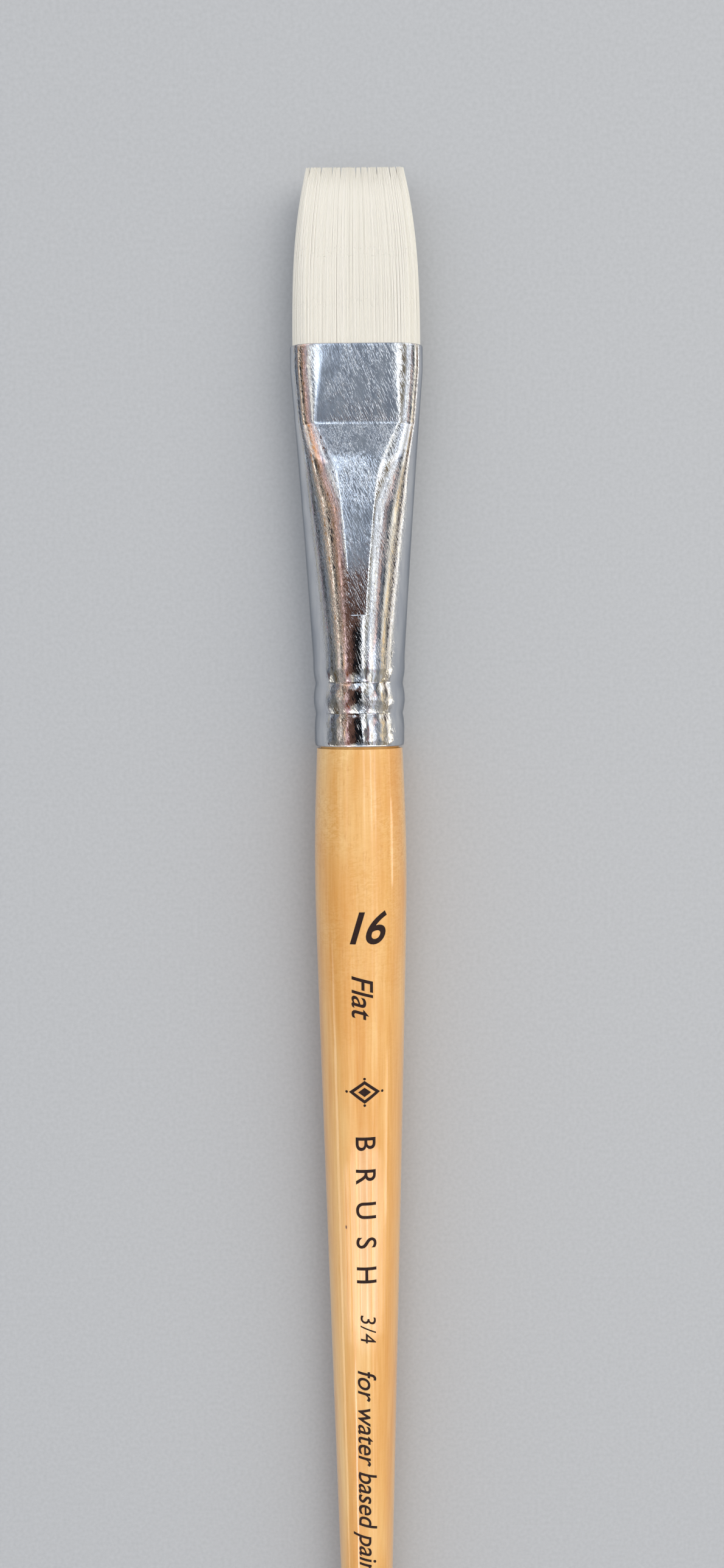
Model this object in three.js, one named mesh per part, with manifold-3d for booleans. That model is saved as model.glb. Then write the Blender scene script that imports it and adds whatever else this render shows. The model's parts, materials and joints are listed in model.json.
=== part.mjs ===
// A long-handled flat artist's brush, in millimetres.
//
// The brush lies along Y with its hair towards +Y, its width along X and its flat side up (+Z).
// Every shape is drawn around the middle of the ferrule's mouth: "reach" runs from there out along
// the hair (+Y), and "depth" runs from there towards the handle (-Y).

import * as THREE from 'three';
import { mergeVertices } from 'three/addons/utils/BufferGeometryUtils.js';
import Module from 'manifold-3d';

const wasm = await Module();
wasm.setup();

// ---- Hair ----
const hairWidth = 19; // across the tuft at the mouth, three quarters of an inch
const hairThickness = 3.95; // through the tuft at the mouth
const hairReach = 25.6; // free length out of the mouth
const toeWidth = 14.4; // across the straight-cut end
const toeThickness = 1.1; // through the straight-cut end
const widthPower = 2.5; // how late the sides turn in towards the toe
const thicknessPower = 1.2; // how late the tuft thins towards the toe
const rootDepth = 15.5; // length of hair held inside the ferrule
const cementLength = 8; // set resin behind the hair
const heelClearance = 0.6; // from the lip to the round back of the first moving stretch

// ---- Ferrule: one seamless tube, pressed flat at the mouth and crimped on the handle ----
const ferruleLength = 59.3;
const ferruleDiameter = 13.9; // of the round tube
const ferruleWall = 0.35;
const hairSlack = 0.025; // between the hair and the inside of the mouth
const panelWidth = 13.1; // flat panel that runs back from the lip
const panelDepth = 11.5; // from the lip to the crease
const shoulderLength = 7.5; // from the crease to where the web starts
const shoulderThickness = 8.4; // through the ferrule where the web starts
const shoulderBow = 1.25; // 1 is a straight slope, more is a fuller curve
const webFootWidth = 5.9; // the web is the long flat wedge that runs out towards the handle
const webTipWidth = 2.2;
const webFade = 6; // length over which the tip of the web fades into the round tube
const webBow = 1.1; // as shoulderBow
const roundLength = 13.3; // round end that takes the handle
const mouthStraight = 3.5; // length of the mouth with parallel sides
const sideBow = 0.15; // how full the sides are between the mouth and the round end

// ---- Crimps and cuff ----
const crimpHeight = 0.35; // how far a groove is rolled in
const crimpHalfLength = 2.2;
const crimpPower = 1.7; // 1 is a straight-sided groove, more is a sharper one between full beads
const crimpSpacing = 4.6;
const cuffLength = 4.9; // from the last groove to the end of the ferrule
const cuffStep = 0.1; // the cuff is this much under the tube's radius
const rolledStep = 0.15; // the very end is rolled in by this much
const rolledLength = 1;

// ---- Handle ----
const handleLength = 214.8; // seen, from the ferrule to the tail
const neckStep = 0.25; // from the cuff's surface down to the wood
const bellySwell = 0.525; // from the neck's radius up to the belly's
const bellyDistance = 18.8; // from the neck to the fattest place
const bellyRounding = 8; // length over which the belly turns into the long taper
const tailDiameter = 4.2;
const tenonLength = 16; // wood inside the ferrule
const tenonChamfer = 0.8;
const glueLength = 1.2; // adhesive pushed ahead of the tenon

// ---- Fits and facets ----
const fitGap = 0.3; // kept between pieces that touch in the real brush
const handleSides = 28;
const flatSteps = 4; // steps across each flat of a section
const endSteps = 12; // steps round each end of a section
const arcSteps = 10; // steps round the back of a stretch of hair

// ---- Sizes that follow from the ones above ----
const mouthHalfWidth = hairWidth / 2 + hairSlack + ferruleWall;
const mouthHalfThickness = hairThickness / 2 + hairSlack + ferruleWall;
const tubeRadius = ferruleDiameter / 2;
const shoulderDepth = panelDepth + shoulderLength;
const roundDepth = ferruleLength - roundLength;
const webTipDepth = roundDepth - webFade;
const lastCrimpDepth = ferruleLength - cuffLength;
const firstCrimpDepth = lastCrimpDepth - crimpSpacing;
const cuffRadius = tubeRadius - cuffStep;
const neckRadius = cuffRadius - neckStep;
const bellyRadius = neckRadius + bellySwell;
const neckDepth = ferruleLength + fitGap;
const tailDepth = neckDepth + handleLength;
const tenonDepth = ferruleLength - tenonLength;
const overallLength = hairReach + tailDepth;

// The free hair is three stretches that hinge on one another, each about a line across the tuft
const heelPivot = heelClearance + hairThickness / 2;
const bellyPivot = heelPivot + (hairReach - heelPivot) * 0.3;
const toePivot = heelPivot + (hairReach - heelPivot) * 0.63;

const { lerp, clamp, smoothstep } = THREE.MathUtils;

// Half-sizes of the ferrule's outside at a depth. The flat is the part of the top that is level
// from side to side, and roundness goes from 0, a flat with elliptical ends, to 1, a circle.
function ferruleForm(depth) {
  const along = clamp((depth - mouthStraight) / (roundDepth - mouthStraight), 0, 1);
  const halfWidth = lerp(mouthHalfWidth, tubeRadius, along * (1 + sideBow - sideBow * along));
  const pastCrease = clamp((depth - panelDepth) / shoulderLength, 0, 1);
  const shoulder = 1 - (1 - pastCrease) ** shoulderBow;
  const web = clamp((depth - shoulderDepth) / (webTipDepth - shoulderDepth), 0, 1);
  const rise = clamp((depth - shoulderDepth) / (roundDepth - shoulderDepth), 0, 1);
  const halfFlat = lerp(lerp(panelWidth, webFootWidth, shoulder), webTipWidth, web) / 2;
  const shoulderHalf = lerp(mouthHalfThickness, shoulderThickness / 2, shoulder);
  const halfThickness = lerp(shoulderHalf, tubeRadius, 1 - (1 - rise) ** webBow);
  const roundness = smoothstep(depth, webTipDepth, roundDepth);
  return { halfWidth, halfFlat, halfThickness, roundness };
}

// How far the round tube is rolled in at a depth: two grooves with a full bead between them, the
// cuff and its turned end
function rolledIn(depth) {
  const groove = (centre) => {
    const away = Math.min(Math.abs(depth - centre) / crimpHalfLength, 1);
    return crimpHeight * (1 - away) ** crimpPower;
  };
  const cuff = cuffStep * smoothstep(depth, lastCrimpDepth, lastCrimpDepth + crimpHalfLength);
  const end = rolledStep * clamp((depth - ferruleLength + rolledLength) / rolledLength, 0, 1);
  return groove(firstCrimpDepth) + groove(lastCrimpDepth) + cuff + end;
}

// One closed outline across the brush, anticlockwise seen from the handle's end. It has the same
// number of points for every form: round one end, across a flat, round the other end, and back.
function outline(form, reach, inset) {
  const end = form.halfWidth - form.halfFlat - inset;
  const height = form.halfThickness - inset;
  const points = [];
  const sides = 2 * (flatSteps + endSteps);
  for (const side of [1, -1]) {
    for (let step = 0; step <= endSteps; step++) {
      const angle = Math.PI * (step / endSteps - 0.5);
      points.push([side * (form.halfFlat + end * Math.cos(angle)), side * height * Math.sin(angle)]);
    }
    for (let step = 1; step < flatSteps; step++) {
      points.push([side * form.halfFlat * (1 - 2 * step / flatSteps), side * height]);
    }
  }
  const roundRadius = form.halfThickness - inset;
  return points.map(([x, z], index) => {
    const angle = 2 * Math.PI * (index - endSteps / 2) / sides;
    return new THREE.Vector3(
      lerp(x, roundRadius * Math.cos(angle), form.roundness),
      reach,
      lerp(z, roundRadius * Math.sin(angle), form.roundness),
    );
  });
}

// Joins outlines, given from the hair's end to the handle's end, into one closed solid. A looped
// solid joins its last outline to its first, and any other has both ends closed with a fan.
function loft(outlines, looped) {
  const sides = outlines[0].length;
  const points = outlines.flat();
  const faces = [];
  const last = looped ? outlines.length : outlines.length - 1;
  for (let ring = 0; ring < last; ring++) {
    const here = ring * sides;
    const next = (ring + 1) % outlines.length * sides;
    for (let side = 0; side < sides; side++) {
      const beside = (side + 1) % sides;
      faces.push(here + side, here + beside, next + beside);
      faces.push(here + side, next + beside, next + side);
    }
  }
  if (!looped) {
    const back = points.length - sides;
    const middles = [outlines[0], outlines.at(-1)].map((ring) => (
      ring.reduce((sum, point) => sum.add(point), new THREE.Vector3()).divideScalar(sides)
    ));
    points.push(...middles);
    for (let side = 0; side < sides; side++) {
      const beside = (side + 1) % sides;
      faces.push(points.length - 2, beside, side);
      faces.push(points.length - 1, back + side, back + beside);
    }
  }
  const geometry = new THREE.BufferGeometry().setFromPoints(points);
  geometry.setIndex(faces);
  return geometry;
}

// Depths at which the ferrule has an outline, between two limits that always have their own
function depthsBetween(low, high) {
  const shoulderSteps = [0, 0.25, 0.5, 0.75].map((part) => panelDepth + part * shoulderLength);
  const webSteps = [0, 1 / 3, 2 / 3, 1].map((part) => lerp(shoulderDepth, webTipDepth, part));
  const fadeSteps = [1 / 3, 2 / 3, 1].map((part) => lerp(webTipDepth, roundDepth, part));
  const grooveSteps = [-1, -0.4, 0, 0.4, 1].map((part) => part * crimpHalfLength);
  const crimps = [firstCrimpDepth, lastCrimpDepth].flatMap((centre) => (
    grooveSteps.map((step) => centre + step)
  ));
  const all = [0, mouthStraight, ...shoulderSteps, ...webSteps, ...fadeSteps, ...crimps,
    ferruleLength - rolledLength, ferruleLength];
  const inside = all.filter((depth) => depth > low + fitGap && depth < high - fitGap);
  return [low, ...inside.sort((a, b) => a - b), high];
}

// The space inside the ferrule, or the ferrule's own skin with no inset, as a row of outlines
function ferruleOutlines(low, high, inset) {
  return depthsBetween(low, high).map((depth) => (
    outline(ferruleForm(depth), -depth, inset + rolledIn(depth))
  ));
}

// ---- Joining and cutting ----
function toSolid(geometry) {
  const bare = geometry.clone();
  bare.deleteAttribute('normal');
  bare.deleteAttribute('uv');
  const merged = mergeVertices(bare);
  const vertProperties = new Float32Array(merged.attributes.position.array);
  const triVerts = new Uint32Array(merged.index.array);
  return new wasm.Manifold(new wasm.Mesh({ numProp: 3, vertProperties, triVerts }));
}

function toGeometry(solid) {
  const mesh = solid.getMesh();
  const geometry = new THREE.BufferGeometry();
  geometry.setAttribute('position', new THREE.BufferAttribute(mesh.vertProperties, 3));
  geometry.setIndex(new THREE.BufferAttribute(mesh.triVerts, 1));
  return geometry;
}

// ---- The pieces ----
function ferruleShape() {
  const outside = ferruleOutlines(0, ferruleLength, 0);
  const inside = ferruleOutlines(0, ferruleLength, ferruleWall).reverse();
  return loft([...outside, ...inside], true);
}

function cementShape() {
  const front = rootDepth + fitGap;
  return loft(ferruleOutlines(front, front + cementLength, ferruleWall + fitGap), false);
}

function glueShape() {
  const back = tenonDepth - fitGap;
  return loft(ferruleOutlines(back - glueLength, back, ferruleWall + fitGap), false);
}

// The wood: a tenon that fills the round end of the ferrule and is pressed in at the crimps, a
// shoulder, a swell up to the belly, and one long taper that ends in a half-round tail
function handleShape() {
  const profile = [new THREE.Vector2(0, -tenonDepth)];
  const tenonRadius = (depth) => tubeRadius - rolledIn(depth) - ferruleWall - fitGap;
  const tenonDepths = depthsBetween(tenonDepth + tenonChamfer, ferruleLength);
  profile.push(new THREE.Vector2(tenonRadius(tenonDepth) - tenonChamfer, -tenonDepth));
  for (const depth of tenonDepths) {
    profile.push(new THREE.Vector2(tenonRadius(depth), -depth));
  }
  profile.push(new THREE.Vector2(tenonRadius(ferruleLength), -neckDepth));
  const swellSteps = 6;
  for (let step = 0; step < swellSteps; step++) {
    const part = step / swellSteps;
    const radius = neckRadius + bellySwell * Math.sin(part * Math.PI / 2);
    profile.push(new THREE.Vector2(radius, -(neckDepth + bellyDistance * part)));
  }
  const bellyDepth = neckDepth + bellyDistance;
  const tailRadius = tailDiameter / 2;
  const taperLength = tailDepth - tailRadius - bellyDepth;
  const fall = (length) => Math.hypot(length, bellyRounding) - bellyRounding;
  const taperSteps = 14;
  for (let step = 0; step <= taperSteps; step++) {
    const length = taperLength * (step / taperSteps) ** 1.5;
    const radius = lerp(bellyRadius, tailRadius, fall(length) / fall(taperLength));
    profile.push(new THREE.Vector2(radius, -(bellyDepth + length)));
  }
  const tailSteps = 5;
  for (let step = 1; step <= tailSteps; step++) {
    const angle = step / tailSteps * Math.PI / 2;
    const radius = step < tailSteps ? tailRadius * Math.cos(angle) : 0;
    profile.push(new THREE.Vector2(radius, -(tailDepth - tailRadius + tailRadius * Math.sin(angle))));
  }
  return new THREE.LatheGeometry(profile.reverse(), handleSides, Math.PI / handleSides);
}

// Half the hair's thickness at a reach
function hairHalfThickness(reach) {
  return lerp(hairThickness, toeThickness, (reach / hairReach) ** thicknessPower) / 2;
}

// The free hair in one piece: it narrows and thins from the lip to the straight-cut toe
function freeHair() {
  const steps = 12;
  const rings = [];
  for (let step = 0; step <= steps; step++) {
    const part = 1 - step / steps;
    const halfWidth = lerp(hairWidth, toeWidth, part ** widthPower) / 2;
    const halfThickness = hairHalfThickness(part * hairReach);
    const halfFlat = halfWidth - lerp(1.5, 1, part) * halfThickness;
    const form = { halfWidth, halfFlat, halfThickness, roundness: 0 };
    rings.push(outline(form, part * hairReach, 0));
  }
  return loft(rings, false);
}

// All the space beyond a pivot line that runs across the hair, with a round back about that line
function beyond(pivot, radius) {
  const span = 2 * hairWidth;
  const shape = new THREE.Shape();
  shape.moveTo(pivot, -span);
  shape.lineTo(pivot, -radius);
  shape.absarc(pivot, 0, radius, -Math.PI / 2, Math.PI / 2, true);
  shape.lineTo(pivot, span);
  shape.lineTo(pivot + 2 * hairReach, span);
  shape.lineTo(pivot + 2 * hairReach, -span);
  const settings = { depth: 2 * span, bevelEnabled: false, curveSegments: arcSteps };
  const geometry = new THREE.ExtrudeGeometry(shape, settings).translate(0, 0, -span);
  const across = new THREE.Vector3(1, 0, 0);
  const along = new THREE.Vector3(0, 1, 0);
  const up = new THREE.Vector3(0, 0, 1);
  geometry.applyMatrix4(new THREE.Matrix4().makeBasis(along, up, across));
  return toSolid(geometry);
}

// The hair inside the ferrule, with a hollow front that the first moving stretch turns in
function rootShape() {
  const held = toSolid(loft(ferruleOutlines(-heelPivot, rootDepth, ferruleWall + fitGap), false));
  return toGeometry(held.subtract(beyond(heelPivot, hairHalfThickness(heelPivot) + fitGap)));
}

// A stretch of free hair from one pivot to the next, or to the toe where there is no next one
function stretchShape(pivot, nextPivot) {
  let stretch = toSolid(freeHair()).intersect(beyond(pivot, hairHalfThickness(pivot)));
  if (nextPivot) {
    stretch = stretch.subtract(beyond(nextPivot, hairHalfThickness(nextPivot) + fitGap));
  }
  return toGeometry(stretch);
}

// ---- The assembly ----
const brush = new THREE.Group();
const flatOfBelly = bellyRadius * Math.cos(Math.PI / handleSides);
brush.position.set(0, overallLength / 2 - hairReach, flatOfBelly);

function add(name, geometry, color, roughness, metalness) {
  const material = new THREE.MeshStandardMaterial({ color, roughness, metalness });
  const mesh = new THREE.Mesh(geometry, material);
  mesh.name = name;
  brush.add(mesh);
}

add('handle', handleShape(), 0xd9a96c, 0.22, 0);
add('handle_glue', glueShape(), 0xd8cfae, 0.4, 0);
add('ferrule', ferruleShape(), 0xb9bdc4, 0.12, 1);
add('hair_cement', cementShape(), 0xb88a4a, 0.3, 0);
add('hair_root', rootShape(), 0xe6e2d6, 0.5, 0);
add('hair_heel', stretchShape(heelPivot, bellyPivot), 0xe9e5da, 0.5, 0);
add('hair_belly', stretchShape(bellyPivot, toePivot), 0xe9e5da, 0.5, 0);
add('hair_toe', stretchShape(toePivot), 0xe9e5da, 0.5, 0);

const group = new THREE.Group();
group.add(brush);
export default group;
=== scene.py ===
import json
import math

import bmesh
import bpy
import numpy as np
from mathutils import Matrix, Vector


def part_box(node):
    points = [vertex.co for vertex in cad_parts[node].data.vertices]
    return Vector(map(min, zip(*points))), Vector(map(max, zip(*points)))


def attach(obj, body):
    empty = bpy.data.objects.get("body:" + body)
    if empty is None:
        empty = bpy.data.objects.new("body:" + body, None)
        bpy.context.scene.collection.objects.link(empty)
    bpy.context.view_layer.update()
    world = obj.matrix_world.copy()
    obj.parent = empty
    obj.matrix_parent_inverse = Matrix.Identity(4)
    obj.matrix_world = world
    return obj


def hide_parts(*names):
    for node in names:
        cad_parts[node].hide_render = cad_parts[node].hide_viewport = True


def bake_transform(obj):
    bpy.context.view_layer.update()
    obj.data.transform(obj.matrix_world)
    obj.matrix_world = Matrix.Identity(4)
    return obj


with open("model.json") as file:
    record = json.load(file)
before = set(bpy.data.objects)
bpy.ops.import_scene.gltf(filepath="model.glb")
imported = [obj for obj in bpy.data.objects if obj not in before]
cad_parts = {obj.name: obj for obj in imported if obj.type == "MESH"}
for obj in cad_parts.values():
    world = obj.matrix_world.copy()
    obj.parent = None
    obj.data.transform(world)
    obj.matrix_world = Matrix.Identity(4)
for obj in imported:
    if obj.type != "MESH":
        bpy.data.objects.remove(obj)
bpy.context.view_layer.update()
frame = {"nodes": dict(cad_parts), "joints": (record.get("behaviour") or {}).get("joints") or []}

mm = 0.001


# frame
# Everything is drawn in millimetres round the middle of the ferrule's mouth. Depth runs from
# there towards the tail of the handle, and reach runs out along the hair.

def boxOf(node):
    low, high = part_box(node)
    return np.array(low) / mm, np.array(high) / mm


ferruleLow, ferruleHigh = boxOf("ferrule")
handleLow, handleHigh = boxOf("handle")
toeHigh = boxOf("hair_toe")[1]
mouthY = ferruleHigh[1]
axisZ = (ferruleLow[2] + ferruleHigh[2]) / 2
ferruleLength = mouthY - ferruleLow[1]
tubeRadius = (ferruleHigh[2] - ferruleLow[2]) / 2
hairReach = toeHigh[1] - mouthY
tailDepth = mouthY - handleLow[1]
bellyRadius = (handleHigh[2] - handleLow[2]) / 2
jointReach = {j["name"]: j["pos_m"][1] / mm - mouthY for j in frame["joints"]}
print("frame: mouth at", round(mouthY, 2), "mm, axis", round(axisZ, 3), "mm above the floor")


def place(x, depth, z):
    # Stacks x, depth and height over the axis into points of the frame, in metres.
    x, depth, z = np.broadcast_arrays(x, depth, z)
    return np.stack([x, mouthY - depth, axisZ + z], axis=-1) * mm


def lerp(a, b, t):
    return a + (b - a) * t


def ease(value, low, high):
    # 0 below low, 1 above high, and a smooth step between them.
    t = np.clip((value - low) / (high - low), 0, 1)
    return t * t * (3 - 2 * t)


# meshes
def meshFrom(name, points, faces, smooth=True):
    mesh = bpy.data.meshes.new(name)
    mesh.from_pydata(points.reshape(-1, 3).tolist(), [], faces)
    mesh.polygons.foreach_set("use_smooth", np.full(len(mesh.polygons), smooth))
    mesh.update()
    piece = bpy.data.objects.new(name, mesh)
    bpy.context.collection.objects.link(piece)
    return piece


def ringFaces(rings, around, loop=False, first=0):
    # Quads between neighbouring rings: corner k of a ring joins corner k of the next one.
    ring = np.arange(rings if loop else rings - 1)[:, None]
    side = np.arange(around)[None, :]
    nextRing = (ring + 1) % rings
    nextSide = (side + 1) % around
    quads = np.stack([
        ring * around + side,
        ring * around + nextSide,
        nextRing * around + nextSide,
        nextRing * around + side,
    ], axis=-1)
    return quads.reshape(-1, 4) + first


# materials
def toLinear(hexColour, alpha=1.0):
    # sRGB hex to the linear colour that a shader takes
    parts = [int(hexColour[i:i + 2], 16) / 255 for i in (1, 3, 5)]
    parts = [p / 12.92 if p <= 0.04045 else ((p + 0.055) / 1.055) ** 2.4 for p in parts]
    return (*parts, alpha)


def inMm(*sizes):
    return [size * mm for size in sizes]


def addNode(tree, kind, settings, links=None, output=0):
    # Adds one node and hands back one of its outputs. Settings are the node's own properties, the
    # values of its sockets, or a ramp's stops as (position, hex colour or grey); links feed sockets.
    node = tree.nodes.new("ShaderNode" + kind)
    for key, value in settings.items():
        if key == "stops":
            elements = node.color_ramp.elements
            while len(elements) < len(value):
                elements.new(0.5)
            for element, (position, colour) in zip(elements, value):
                element.position = position
                element.color = toLinear(colour) if isinstance(colour, str) else (colour,) * 3 + (1,)
        elif isinstance(key, int) or key in node.inputs:
            node.inputs[key].default_value = value
        else:
            setattr(node, key, value)
    for key, source in (links or {}).items():
        tree.links.new(source, node.inputs[key])
    return node.outputs[output] if node.outputs else node


def newMaterial(name):
    material = bpy.data.materials.new(name)
    material.use_nodes = True
    tree = material.node_tree
    shader = tree.nodes["Principled BSDF"]
    return material, tree, shader, addNode(tree, "TexCoord", {}, output="Object")


# A Mapping node of the texture kind divides by its scale, so each scale below is the real size of
# the pattern, across, along and through the brush. A colour mix has its factor on socket 0, its
# colours on 6 and 7, and its result on output 2.

curlFades = (70, 112)  # mm behind the ferrule's mouth, where the wood's curl fades out


# Beech or birch, turned on a lathe, sanded and dipped in clear gloss lacquer. It gives a honey
# ground with long soft grain, short ray flecks, a few dark pin specks and a hard wet shine.
def lacqueredWood():
    material, tree, shader, coords = newMaterial("lacquered turned beech")
    bandSize = addNode(tree, "Mapping", {"vector_type": "TEXTURE", "Scale": inMm(2.6, 45, 2.6)},
                       {"Vector": coords})
    bands = addNode(tree, "TexNoise", {"Scale": 1.0, "Detail": 2.0, "Distortion": 0.5},
                    {"Vector": bandSize})
    base = addNode(tree, "ValToRGB", {"stops": [(0.3, "#DF9B46"), (0.5, "#EAAE5F"), (0.72, "#F4C680")]},
                   {"Fac": bands})
    fibreSize = addNode(tree, "Mapping", {"vector_type": "TEXTURE", "Scale": inMm(0.3, 9, 0.3)},
                        {"Vector": coords})
    fibres = addNode(tree, "TexNoise", {"Scale": 1.0, "Detail": 3.0}, {"Vector": fibreSize})
    fibres = addNode(tree, "ValToRGB", {"stops": [(0.35, "#CC9046"), (0.65, "#F8D294")]}, {"Fac": fibres})
    base = addNode(tree, "Mix", {"data_type": "RGBA", 0: 0.16}, {6: base, 7: fibres}, output=2)
    # curl: short soft bars across the grain, strongest near the ferrule and in patches
    along = addNode(tree, "SeparateXYZ", {}, {"Vector": coords}, output="Y")
    nearFerrule = addNode(
        tree, "MapRange", {"From Min": (mouthY - curlFades[1]) * mm,
                           "From Max": (mouthY - curlFades[0]) * mm, "To Min": 0.06, "To Max": 0.42},
        {"Value": along})
    curlSize = addNode(tree, "Mapping", {"vector_type": "TEXTURE", "Scale": inMm(1.0, 0.45, 1.0),
                                         "Rotation": (0, 0, 0.15)}, {"Vector": coords})
    curl = addNode(tree, "TexNoise", {"Scale": 1.0, "Detail": 4.0, "Distortion": 1.2},
                   {"Vector": curlSize})
    curl = addNode(tree, "ValToRGB", {"stops": [(0.38, "#DB9F4C"), (0.6, "#F4C988")]}, {"Fac": curl})
    patchSize = addNode(tree, "Mapping", {"vector_type": "TEXTURE", "Scale": inMm(4, 7, 4)},
                        {"Vector": coords})
    patches = addNode(tree, "TexNoise", {"Scale": 1.0, "Detail": 2.0}, {"Vector": patchSize})
    patches = addNode(tree, "ValToRGB", {"stops": [(0.38, 0.25), (0.6, 1.0)]}, {"Fac": patches})
    curlShare = addNode(tree, "Math", {"operation": "MULTIPLY"}, {0: patches, 1: nearFerrule})
    base = addNode(tree, "Mix", {"data_type": "RGBA"}, {0: curlShare, 6: base, 7: curl}, output=2)
    raySize = addNode(tree, "Mapping", {"vector_type": "TEXTURE", "Scale": inMm(0.35, 1.6, 0.35)},
                      {"Vector": coords})
    rays = addNode(tree, "TexNoise", {"Scale": 1.0, "Detail": 2.0}, {"Vector": raySize})
    rays = addNode(tree, "ValToRGB", {"stops": [(0.62, 0.0), (0.74, 1.0)]}, {"Fac": rays})
    rayShare = addNode(tree, "Math", {"operation": "MULTIPLY"}, {0: rays, 1: nearFerrule})
    base = addNode(tree, "Mix", {"data_type": "RGBA", 7: toLinear("#C98840")}, {0: rayShare, 6: base},
                   output=2)
    blotchSize = addNode(tree, "Mapping", {"vector_type": "TEXTURE", "Scale": inMm(5, 14, 5)},
                         {"Vector": coords})
    blotches = addNode(tree, "TexNoise", {"Scale": 1.0, "Detail": 2.0}, {"Vector": blotchSize})
    blotches = addNode(tree, "ValToRGB", {"stops": [(0.5, 0.0), (0.72, 0.4)]}, {"Fac": blotches})
    base = addNode(tree, "Mix", {"data_type": "RGBA", 7: toLinear("#DC943A")}, {0: blotches, 6: base},
                   output=2)
    # pin specks, about 0.25 mm across and more than a centimetre apart
    speckSize = addNode(tree, "Mapping", {"vector_type": "TEXTURE", "Scale": inMm(8, 16, 8)},
                        {"Vector": coords})
    specks = addNode(tree, "TexVoronoi", {"feature": "F1", "Scale": 1.0}, {"Vector": speckSize})
    specks = addNode(tree, "ValToRGB", {"stops": [(0.016, 1.0), (0.026, 0.0)]}, {"Fac": specks})
    base = addNode(tree, "Mix", {"data_type": "RGBA", 7: toLinear("#5A3416")}, {0: specks, 6: base},
                   output=2)
    tree.links.new(base, shader.inputs["Base Color"])
    # the lacquer pools in ripples a few millimetres long, which break up its highlights
    rippleSize = addNode(tree, "Mapping", {"vector_type": "TEXTURE", "Scale": inMm(2.6, 6, 2.6)},
                         {"Vector": coords})
    ripple = addNode(tree, "TexNoise", {"Scale": 1.0, "Detail": 1.5}, {"Vector": rippleSize})
    bump = addNode(tree, "Bump", {"Strength": 0.5, "Distance": 0.05 * mm}, {"Height": ripple})
    tree.links.new(bump, shader.inputs["Normal"])
    tree.links.new(bump, shader.inputs["Coat Normal"])
    shader.inputs["Roughness"].default_value = 0.42
    shader.inputs["IOR"].default_value = 1.5
    shader.inputs["Coat Weight"].default_value = 1.0
    shader.inputs["Coat Roughness"].default_value = 0.05
    shader.inputs["Coat IOR"].default_value = 1.5
    return material


# Seamless brass tube, nickel plated and buffed bright, then pressed. It gives a mirror with a
# grey-blue cast, hairlines from wiping and scuffs where the flat was pressed.
def platedFerrule():
    material, tree, shader, coords = newMaterial("bright nickel plate on brass")
    cloudSize = addNode(tree, "Mapping", {"vector_type": "TEXTURE", "Scale": inMm(1.5, 6, 1.5)},
                        {"Vector": coords})
    clouds = addNode(tree, "TexNoise", {"Scale": 1.0, "Detail": 2.0}, {"Vector": cloudSize})
    base = addNode(tree, "ValToRGB", {"stops": [(0.3, "#C3C7CE"), (0.7, "#DADCDF")]}, {"Fac": clouds})
    tree.links.new(base, shader.inputs["Base Color"])
    shader.inputs["Metallic"].default_value = 1.0
    shader.inputs["Specular Tint"].default_value = toLinear("#BFC3C9")  # keeps its far edges grey
    # a rag leaves scuffs about 0.2 mm wide and 1.4 mm long that lean one way
    scuffSize = addNode(tree, "Mapping", {"vector_type": "TEXTURE", "Scale": inMm(0.2, 1.4, 0.2),
                                          "Rotation": (0, 0, 0.42)}, {"Vector": coords})
    scuffs = addNode(tree, "TexNoise", {"Scale": 1.0, "Detail": 2.0, "Distortion": 0.6},
                     {"Vector": scuffSize})
    rough = addNode(tree, "MapRange", {"From Min": 0.4, "From Max": 0.68, "To Min": 0.04,
                                       "To Max": 0.14}, {"Value": scuffs})
    tree.links.new(rough, shader.inputs["Roughness"])
    scuffs = addNode(tree, "ValToRGB", {"stops": [(0.42, 0.0), (0.62, 1.0)]}, {"Fac": scuffs})
    patchSize = addNode(tree, "Mapping", {"vector_type": "TEXTURE", "Scale": inMm(3.5, 4.5, 3.5)},
                        {"Vector": coords})
    patches = addNode(tree, "TexNoise", {"Scale": 1.0, "Detail": 1.0}, {"Vector": patchSize})
    patches = addNode(tree, "ValToRGB", {"stops": [(0.34, 0.3), (0.56, 1.0)]}, {"Fac": patches})
    scuffs = addNode(tree, "Math", {"operation": "MULTIPLY"}, {0: scuffs, 1: patches})
    # the draw of the tube leaves hairlines along it, and the press leaves shallow dents
    drawnSize = addNode(tree, "Mapping", {"vector_type": "TEXTURE", "Scale": inMm(0.14, 9, 0.14)},
                        {"Vector": coords})
    drawn = addNode(tree, "TexNoise", {"Scale": 1.0, "Detail": 2.0}, {"Vector": drawnSize})
    dentSize = addNode(tree, "Mapping", {"vector_type": "TEXTURE", "Scale": inMm(1.6, 3.4, 1.6)},
                       {"Vector": coords})
    dents = addNode(tree, "TexNoise", {"Scale": 1.0, "Detail": 1.0}, {"Vector": dentSize})
    height = addNode(tree, "Math", {"operation": "MULTIPLY_ADD", 1: 0.5}, {0: drawn, 2: scuffs})
    height = addNode(tree, "Math", {"operation": "MULTIPLY_ADD", 1: 2.2}, {0: dents, 2: height})
    bump = addNode(tree, "Bump", {"Strength": 0.6, "Distance": 0.009 * mm}, {"Height": height})
    tree.links.new(bump, shader.inputs["Normal"])
    return material


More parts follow.
